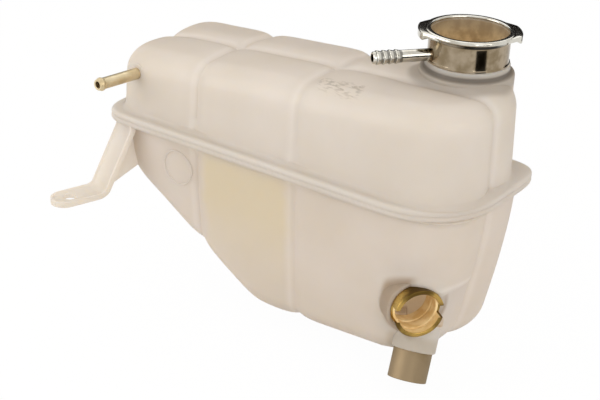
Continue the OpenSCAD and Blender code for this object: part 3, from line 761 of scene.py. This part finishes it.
# %% [markdown]
# ## Bosses and bores of the lid
# The neck stands on a moulded boss with a narrower ring on top, rounded where the two meet. Both are
# spun in one section, joined to the lid, and bored for the neck's spigot. The vent tube has a small
# boss on the wall. Every bore is wider than what sits in it by the same fit.
# %% Lid bosses
FIT = 0.06
SPIGOT_R, SPIGOT_LEN, SEAT_R, TUBE_R, VENT_IN = 24.3, 9.0, 20.5, 4.0, 8.5
NECK_FOOT = -NECK_LEN
neck_boss = spun("neck_boss", [
    (19, -43.5), (29.5, -43.5), (31, -42), (31, NECK_FOOT - 7.2), (30.6, NECK_FOOT - 6.2),
    (29.8, NECK_FOOT - 5.6), (28.4, NECK_FOOT - 5.2), (27.8, NECK_FOOT - 4.4), (27.6, NECK_FOOT - 3.4),
    (27.6, NECK_FOOT - 0.8), (27.3, NECK_FOOT - 0.2), (26.8, NECK_FOOT), (19, NECK_FOOT)], NECK)
vent_boss = spun("vent_boss", [(2, 1.5), (6.4, 1.5), (7, 2.1), (7, VENT_IN), (2, VENT_IN)], VENT, 48)
lid = combine(lid, [neck_boss, vent_boss], "UNION")
lid = combine(lid, [cutter("throat", SEAT_R, -60.5, 0, NECK),
                    cutter("spigot_bore", SPIGOT_R + FIT, NECK_FOOT - SPIGOT_LEN - FIT, 0, NECK),
                    cutter("vent_bore", TUBE_R + FIT, -VENT_IN, 2 * VENT_IN, VENT, 48)], "DIFFERENCE")
finish_piece(lid, pp, "upper_shell", 40)

# %% [markdown]
# ## The mounting foot
# The foot is a broad tongue with a thin raised outline. It leaves the flange's corner, slants down
# and out, bends into a level pad with a bolt hole, and ends round. One section is swept along its
# path, and towards the tip the section narrows in a half circle, so that the outline closes round
# the pad. The whole foot is laid out straight and then swung towards the far end.
# %% Foot path
FOOT_ROOT, FOOT_TURN = (-221.5, -51.0), -17.0
FOOT_W, FOOT_T, EDGE_H, EDGE_W = 20.0, 3.2, 4.6, 1.6
PAD_Y, PAD_Z, HEEL_Y, HOLE_IN, HOLE_R = -114.0, -52.5, -78.0, 14.0, 4.6
TIP_ROWS = 16


def strip_path():
    """Underside of the tongue from the flange to the pad's tip as (y, z), with rounded bends."""
    corners = [(-51.5, -3.0), (-51.8, -7.5), (HEEL_Y + 4.2, PAD_Z + 2.6), (HEEL_Y - 1.0, PAD_Z),
               (PAD_Y, PAD_Z)]
    radii = [0.0, 3.0, 5.0, 9.0, 0.0]
    path = []
    for i, (corner, radius) in enumerate(zip(corners, radii)):
        c = np.array(corner)
        if radius == 0:
            path.append(c)
            continue
        a, b = (np.array(corners[j]) - c for j in (i - 1, i + 1))
        reach = min(radius, 0.45 * np.linalg.norm(a), 0.45 * np.linalg.norm(b))
        a, b = a / np.linalg.norm(a), b / np.linalg.norm(b)
        for t in np.linspace(0, 1, 7):
            path.append((1 - t) ** 2 * (c + a * reach) + 2 * t * (1 - t) * c + t * t * (c + b * reach))
    return path


def tongue_section(w, v, plate):
    """Section across the tongue: half width w, inner half width v, rounded edges."""
    lip = min(0.5, (w - v) / 3)
    return [(-w, 0.5), (-w, EDGE_H - lip), (-w + lip, EDGE_H), (-v - lip, EDGE_H), (-v, plate + 0.4),
            (-v + 0.5, plate), (v - 0.5, plate), (v, plate + 0.4), (v + lip, EDGE_H), (w - lip, EDGE_H),
            (w, EDGE_H - lip), (w, 0.5), (w - 0.5, 0.0), (-w + 0.5, 0.0)]


print("points along the foot:", len(strip_path()) + TIP_ROWS - 1)

# %% Foot mesh
FOOT = (Matrix.Translation((*FOOT_ROOT, 0)) @ Matrix.Rotation(math.radians(FOOT_TURN), 4, "Z")
        @ Matrix.Translation((-FOOT_ROOT[0], -FOOT_ROOT[1], 0)))


def foot_tongue():
    path = strip_path()
    tip_r, last = FOOT_W / 2, path[-1]
    path[-1] = last + (tip_r, 0)
    path += [last + (tip_r * (1 - math.sin(a)), 0) for a in np.linspace(0, math.pi / 2, TIP_ROWS)[1:]]
    rings = []
    for i, p in enumerate(path):
        d = path[min(i + 1, len(path) - 1)] - path[max(i - 1, 0)]
        away = np.array([d[1], -d[0]]) / np.linalg.norm(d)
        past = max(0.0, tip_r - np.linalg.norm(last - p)) if i >= len(path) - TIP_ROWS else 0.0
        w = max(0.9, math.sqrt(max(0.0, tip_r ** 2 - past ** 2)))
        inner = tip_r - EDGE_W
        v = math.sqrt(inner ** 2 - past ** 2) if past < inner - 0.6 else 0.0
        plate = FOOT_T if v else EDGE_H - 0.4
        v = min(max(v, 0.6), w - 0.2)
        rings.append([(FOOT_ROOT[0] + s, *(p + away * h)) for s, h in tongue_section(w, v, plate)])
    points = [q for ring in rings for q in ring]
    return outwards(mesh_object("foot_tongue", points, ring_faces(len(rings), len(rings[0])), LAYOUT @ FOOT))


def foot_web():
    """The thin web between the tongue and the belly."""
    outline = [(-52, -8.4), (-71.6, -46.1), (-74.8, -51.0), (-41, -35.5), (-44, -28.1)]
    points = [(FOOT_ROOT[0] + s, y, z) for s in (-1.1, 1.1) for y, z in outline]
    return outwards(mesh_object("foot_web", points, ring_faces(2, len(outline)), LAYOUT @ FOOT))


# %% [markdown]
# ## Bosses and bores of the lower shell
# The level socket sits in a round boss that grows out of the hollow belly, and the outlet has a
# collar that the sleeve is pushed into. A last cut takes the collar's mouth back to a flat face.
# %% Lower shell
SOCKET_R, SOCKET_LEN, SOCKET_WAY = 17.0, 24.0, 13.0
SLEEVE_IN_R, SLEEVE_IN, SLEEVE_BORE, COLLAR_R = 12.6, 9.0, 10.5, 14.7
socket_boss = spun("socket_boss", [
    (10, -32), (19.5, -32), (19.5, -10.3), (19.2, -9.2), (18.6, -8.6), (17.9, -8.5), (10, -8.5)], SOCKET, 96)
collar = spun("outlet_collar", [
    (5, 0), (13.6, 0), (14.3, 0.3), (COLLAR_R, 1.0), (COLLAR_R, 19), (5, 19)], OUTLET, 96)
sump = combine(sump, [socket_boss, collar, foot_tongue(), foot_web()], "UNION")
bolt = LAYOUT @ Matrix.Translation(FOOT @ Vector((FOOT_ROOT[0], PAD_Y + HOLE_IN, PAD_Z)))
sump = combine(sump, [cutter("socket_bore", SOCKET_R + FIT, -SOCKET_LEN - FIT, 8, SOCKET),
                      cutter("socket_way", SOCKET_WAY, -48, -12, SOCKET),
                      cutter("sleeve_bore", SLEEVE_IN_R + FIT, -9, SLEEVE_IN + FIT, OUTLET),
                      cutter("outlet_way", SLEEVE_BORE, 0, 39, OUTLET),
                      cutter("outlet_face", COLLAR_R, -9, 0, OUTLET),
                      cutter("bolt_hole", HOLE_R, -3, 16, bolt, 64)], "DIFFERENCE")
finish_piece(sump, pp, "lower_shell", 40)

# %% [markdown]
# ## The moulded ring mark
# The mould leaves a plain oval ring on the last lower lobe. It has to lie on a curved skin, so a
# Geometry Nodes tree throws an oval of rays at the skin, and sweeps a thin round section along the
# places where they land.
# %% Ring on the skin
def mark_tree():
    inputs = {"Skin": ("Object", None), "Centre": ("Vector", (-0.1785, -0.12, -0.1245)),
              "Half axes": ("Vector", (0.0115, 0.013, 1.0)), "Line": ("Float", 0.8 * MM),
              "Finish": ("Material", None)}
    tree, given, ids = new_tree("oval_on_skin", "Start", inputs, "Mark")
    skin = put(tree, "GeometryNodeObjectInfo", {"Object": given["Skin"]}).outputs["Geometry"]
    oval = put(tree, "GeometryNodeCurvePrimitiveCircle", {"Resolution": 96, "Radius": 1.0})
    sized = put(tree, "GeometryNodeTransform", {"Geometry": oval, "Scale": given["Half axes"]})
    upright = put(tree, "GeometryNodeTransform", {
        "Geometry": sized, "Rotation": (math.pi / 2, 0.0, 0.0), "Translation": given["Centre"]})
    ray = put(tree, "GeometryNodeRaycast", {
        "Target Geometry": skin, "Source Position": put(tree, "GeometryNodeInputPosition"),
        "Ray Direction": (0.0, 1.0, 0.0), "Ray Length": 0.2}).outputs["Hit Position"]
    landed = put(tree, "GeometryNodeSetPosition", {"Geometry": upright, "Position": ray})
    section = put(tree, "GeometryNodeCurvePrimitiveCircle", {"Resolution": 10, "Radius": given["Line"]})
    swept = put(tree, "GeometryNodeCurveToMesh", {"Curve": landed, "Profile Curve": section})
    end_tree(tree, swept, given["Finish"])
    return tree, ids


marks, mark_ids = mark_tree()
start = mesh_object("ring_mark", [(0, 0, 0)], [], NECK)
mark = run_tree(start, marks, mark_ids, {"Skin": sump, "Finish": pp})
finish_piece(mark, pp, "lower_shell", 60)

# %% [markdown]
# ## Filler neck
# The neck is spun with a rolled rim. The two bayonet cams are crescents that leave the rim gently
# and have their edge turned down in the middle, where the cap's hooks run. The cap's seat is the
# inward step at the bottom of the bore, and a groove in the spigot holds the hidden seal.
# %% Neck and cams
def arc_points(r0, z0, radius, start, end, count):
    turns = np.radians(np.linspace(start, end, count))
    return [(r0 + radius * math.cos(a), z0 + radius * math.sin(a)) for a in turns]


def cam(turn):
    """One cam: a crescent along the rim, centred on a turn in degrees."""
    half, steps, rings = 42.0, 33, []
    for a in np.linspace(-half, half, steps):
        bulge = math.cos(math.pi / 2 * a / half) ** 2
        out = 29.3 + 4.1 * min(1.0, 1.7 * bulge)
        drop = -2.9 - 2.3 * float(rise_smooth((bulge - 0.3) / 0.35))
        t = math.radians(turn + a)
        section = [(26.3, -0.5), (out - 0.9, -0.5), (out - 0.3, -0.7), (out, -1.2), (out, drop),
                   (out - 0.3, drop - 0.4), (out - 1.3, drop - 0.4), (out - 1.7, drop), (out - 1.7, -2.6),
                   (out - 2.1, -2.3), (26.3, -2.3)]
        rings.append([(r * math.cos(t), r * math.sin(t), z) for r, z in section])
    points = [p for ring in rings for p in ring]
    return outwards(mesh_object("cam", points, ring_faces(steps, len(section)), NECK))


SPIGOT_END, SEAL_R = NECK_FOOT - SPIGOT_LEN, 22.13
rim = arc_points(25.9, -0.9, 0.9, 180, 90, 5) + arc_points(28.0, -1.4, 1.4, 90, -90, 12)
barrel = [(27.2, -3.0), (26.8, -3.6), (26.5, -4.8), (26.4, -6.0), (26.2, NECK_FOOT + 2.6),
          (26.4, NECK_FOOT + 1.6), (26.9, NECK_FOOT + 1.1), (27.0, NECK_FOOT + 0.4), (26.9, NECK_FOOT),
          (SPIGOT_R, NECK_FOOT)]
spigot = [(SPIGOT_R, -24.2), (SEAL_R, -24.2), (SEAL_R, -26.8), (SPIGOT_R, -26.8), (SPIGOT_R, SPIGOT_END),
          (SEAT_R, SPIGOT_END), (SEAT_R, -20.4), (20.9, -20.0), (24.6, -20.0), (25.0, -19.6)]
neck = spun("plated_neck", rim + barrel + spigot, NECK, 160)
neck = combine(neck, [cam(36), cam(216)], "UNION")
neck = combine(neck, [cutter("spill_bore", TUBE_R + FIT, 19, 39, SPILL, 48)], "DIFFERENCE")
finish_piece(neck, nickel, "filler_neck", 30)

# %% [markdown]
# ## Overflow nipple
# The barbs repeat along the tube, so Geometry Nodes sets one spun barb at each point of a line and
# makes the copies real. The tube itself is spun, and its inner end sits in the neck's wall.
# %% Barbs along the overflow tube
BARBS, BARB_STEP, FIRST_BARB, TUBE_END = 4, 4.2, 49.9, 65.0


def barb_tree():
    inputs = {"Count": ("Int", BARBS), "First": ("Vector", None), "Step": ("Vector", None),
              "Finish": ("Material", None)}
    tree, given, ids = new_tree("barbs_on_tube", "Barb", inputs, "Barbs")
    line = put(tree, "GeometryNodeMeshLine", {
        "Count": given["Count"], "Start Location": given["First"], "Offset": given["Step"]}, mode="OFFSET")
    copies = put(tree, "GeometryNodeInstanceOnPoints", {"Points": line, "Instance": given["Barb"]})
    end_tree(tree, copies, given["Finish"])
    return tree, ids


barb = spun("overflow_barbs", [
    (3.2, -3.4), (4.0, -3.36), (4.55, -0.75), (4.68, -0.5), (4.7, -0.25), (4.62, -0.02), (4.4, 0.15),
    (4.05, 0.3), (3.2, 0.3)], SPILL, 64)
barbs, barb_ids = barb_tree()
along_tube = Vector(axis_of(SPILL)) * MM
barb = run_tree(barb, barbs, barb_ids, {
    "First": tuple(along_tube * FIRST_BARB), "Step": tuple(along_tube * BARB_STEP), "Finish": nickel})
tube = spun("overflow_tube", [(2.6, 25.3), (TUBE_R, 25.3), (TUBE_R, 26.6), (TUBE_R, 64.2), (3.8, 64.7),
                              (3.3, TUBE_END), (2.6, TUBE_END)], SPILL, 64)
for piece in (tube, barb):
    finish_piece(piece, nickel, "overflow_nipple", 30)

# %% [markdown]
# ## Vent nipple, level socket and outlet sleeve
# All three are turned. The vent tube has a bead that holds its hose. The socket's mouth has two
# notches that lock the sensor, cut with the Boolean modifier, and a groove and a step in its bore.
# %% Turned fittings
vent = spun("vent_tube", [
    (2.5, VENT_IN), (TUBE_R, VENT_IN), (TUBE_R, -28.4), (4.2, -29.2), (4.6, -29.8), (4.7, -30.2),
    (4.7, -30.9), (4.6, -31.3), (4.2, -32.0), (4.0, -32.5), (3.9, -33.1), (3.6, -33.5), (2.8, -33.5),
    (2.5, -33.2)], VENT, 64)
finish_piece(vent, pale_brass, "vent_nipple", 35)

socket = spun("level_socket_sleeve", [
    (14.5, 0), (16.4, 0), (SOCKET_R, -0.6), (SOCKET_R, -23.6), (16.6, -SOCKET_LEN), (14.0, -SOCKET_LEN),
    (14.0, -16.4), (14.6, -16.0), (14.6, -14.6), (14.0, -14.2), (14.0, -7.65), (15.2, -7.5), (15.2, -5.2),
    (14.0, -5.05), (14.0, -0.5)], SOCKET, 128, 0.12)
NOTCH_HALF, NOTCH_D = 4.5, 8.0
corners = ((-NOTCH_HALF, -34), (NOTCH_HALF, -34), (NOTCH_HALF, 34), (-NOTCH_HALF, 34))
points = [(x, y, z) for z in (-NOTCH_D, 1.0) for x, y in corners]
notch = mesh_object("notch", points, ring_faces(2, len(corners)), SOCKET)
socket = combine(socket, [notch], "DIFFERENCE")
finish_piece(socket, socket_brass, "level_socket", 30)

sleeve = spun("outlet_tube", [
    (SLEEVE_BORE, -19.8), (10.8, -20), (12.7, -20), (13.0, -19.7), (13.0, 0), (SLEEVE_IN_R, 0),
    (SLEEVE_IN_R, SLEEVE_IN), (SLEEVE_BORE, SLEEVE_IN)], OUTLET, 128)
finish_piece(sleeve, tan_brass, "outlet_sleeve", 30)

# %% [markdown]
# ## The hidden seal
# The rubber ring stays as the CAD made it. It needs no more than black rubber: matt, with the fine
# grain of its mould.
# %% Seal
def rubber():
    material, tree, out = new_material("black_rubber")
    grain = put(tree, "ShaderNodeTexNoise", {"Vector": object_mm(tree), "Scale": 1 / 0.4, "Detail": 3.0})
    tone = paint(tree, srgb("#1a1a1a"), "#2a2928", grain.outputs["Fac"])
    bump = put(tree, "ShaderNodeBump", {"Height": grain, "Strength": 0.3, "Distance": 0.1 * MM})
    skin = put(tree, "ShaderNodeBsdfPrincipled", {"Base Color": tone, "Roughness": 0.7, "Normal": bump})
    tree.links.new(skin.outputs["BSDF"], out.inputs["Surface"])
    return material


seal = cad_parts["neck_seal"]
seal.data.materials.clear()
seal.data.materials.append(rubber())
print("seal:", seal.data.materials[0].name)

# %% [markdown]
# ## Floor, light and camera
# The object is shown as a cut-out on white with very soft light. The floor is pale and shows white
# to the camera, to mirrors and through clear things, and keeps a small share of the tank's shadow.
# The world behind it does the same. Large lamps stand left, right and above.
# %% Floor and backdrop
FLOOR_Z, FLOOR_HALF, FLOOR_SHARE = -228.5, 3000.0, 0.97
WHITE = (1.0, 1.0, 1.0, 1.0)


def seen_directly(tree):
    """1 for camera, mirror and see-through rays."""
    path = put(tree, "ShaderNodeLightPath").outputs
    return worked(tree, path["Is Camera Ray"], ("MAXIMUM", path["Is Glossy Ray"]),
                  ("MAXIMUM", path["Is Transmission Ray"]))


def floor_material():
    material, tree, out = new_material("white_studio_floor")
    matt = put(tree, "ShaderNodeBsdfDiffuse", {"Color": srgb("#f2f1ef")})
    glow = put(tree, "ShaderNodeEmission", {"Color": WHITE, "Strength": 1.0})
    share = worked(tree, seen_directly(tree), ("MULTIPLY", FLOOR_SHARE))
    mixed = put(tree, "ShaderNodeMixShader", {0: share, 1: matt, 2: glow})
    tree.links.new(mixed.outputs[0], out.inputs["Surface"])
    return material


corners = [(x * FLOOR_HALF, y * FLOOR_HALF, FLOOR_Z) for x, y in ((-1, -1), (1, -1), (1, 1), (-1, 1))]
floor = mesh_object("floor", corners, [(0, 1, 2, 3)], NECK)
floor.data.materials.append(floor_material())

world = bpy.data.worlds.new("white_studio")
bpy.context.scene.world = world
world.use_nodes = True
sky = world.node_tree
sky.nodes.clear()
soft = put(sky, "ShaderNodeBackground", {"Color": srgb("#f6f3ee"), "Strength": 1.0})
white = put(sky, "ShaderNodeBackground", {"Color": WHITE, "Strength": 1.0})
sky_mix = put(sky, "ShaderNodeMixShader", {0: seen_directly(sky), 1: soft, 2: white})
put(sky, "ShaderNodeOutputWorld", {0: sky_mix})
print("floor at", FLOOR_Z, "mm")

# %% Lamps
MIDDLE = Vector((-0.09, -0.03, -0.11))


def lamp(name, place, size, watts):
    """A square lamp that looks at the middle of the tank, with its place and size in metres."""
    light = bpy.data.lights.new(name, "AREA")
    light.shape, light.size, light.energy = "SQUARE", size, watts
    obj = bpy.data.objects.new(name, light)
    obj.location = place
    obj.rotation_euler = (MIDDLE - Vector(place)).to_track_quat("-Z", "Y").to_euler()
    bpy.context.collection.objects.link(obj)


lamp("key_left", (-0.75, -0.85, 0.30), 0.8, 5.0)
lamp("top_back", (-0.5, 0.6, 0.85), 1.0, 1.9)
lamp("fill_right", (0.95, -0.45, 0.30), 0.8, 3.8)
print("lamps:", len(bpy.data.lights))

# %% [markdown]
# Bright plating shows only what stands round it, and on white it would vanish. Three curved black
# cards stand out of sight: two beside the tank draw the dark edges of the neck, and one low in front
# gives the black band on it and the line along the overflow tube. Only mirror rays see them.
# %% Black cards
CARD_AWAY, CARD_STRIPS = 450.0, 8


def black_card(name, azimuths, low, high):
    """A curved black card round the neck's axis between two azimuths and two heights (mm)."""
    turns = np.radians(np.linspace(*azimuths, CARD_STRIPS + 1))
    points = [(CARD_AWAY * math.cos(t), CARD_AWAY * math.sin(t), z) for t in turns for z in (low, high)]
    faces = [(2 * i, 2 * i + 2, 2 * i + 3, 2 * i + 1) for i in range(CARD_STRIPS)]
    card = mesh_object(name, points, faces, NECK)
    material, tree, out = new_material(name + "_paper")
    fibre = put(tree, "ShaderNodeTexNoise", {"Vector": object_mm(tree), "Scale": 0.4})
    tone = paint(tree, srgb("#0e0d0c"), "#1a1816", fibre.outputs["Fac"])
    tree.links.new(put(tree, "ShaderNodeBsdfDiffuse", {"Color": tone}).outputs[0], out.inputs["Surface"])
    card.data.materials.append(material)
    card.visible_camera = card.visible_diffuse = card.visible_shadow = card.visible_transmission = False


black_card("front_card", (-40, -10), -240, 50)
black_card("right_card", (60, 125), -120, 200)
black_card("left_card", (-250, -190), -120, 200)
print("cards stand", CARD_AWAY, "mm from the neck's axis")

# %% [markdown]
# The camera looks along the tank from the neck end, 26 degrees down, with a long lens. Its place and
# its three directions were fitted to the neck's ellipse, the flange and the foot.
# %% Camera
CAMERA_AT = (0.4067, -0.7635, 0.2888)
RIGHT, UP, AHEAD = (0.80834, 0.58741, 0.03927), (-0.28465, 0.33158, 0.89946), (-0.51533, 0.73825, -0.43523)
camera_data = bpy.data.cameras.new("camera")
camera_data.sensor_width, camera_data.lens = 36.0, 84.9
camera = bpy.data.objects.new("camera", camera_data)
turned = Matrix((RIGHT, UP, [-v for v in AHEAD])).transposed().to_4x4()
camera.matrix_world = Matrix.Translation(CAMERA_AT) @ turned
bpy.context.collection.objects.link(camera)
bpy.context.scene.camera = camera
bpy.context.scene.view_settings.view_transform = "Standard"
print("lens:", camera_data.lens, "mm")

bpy.context.view_layer.update()
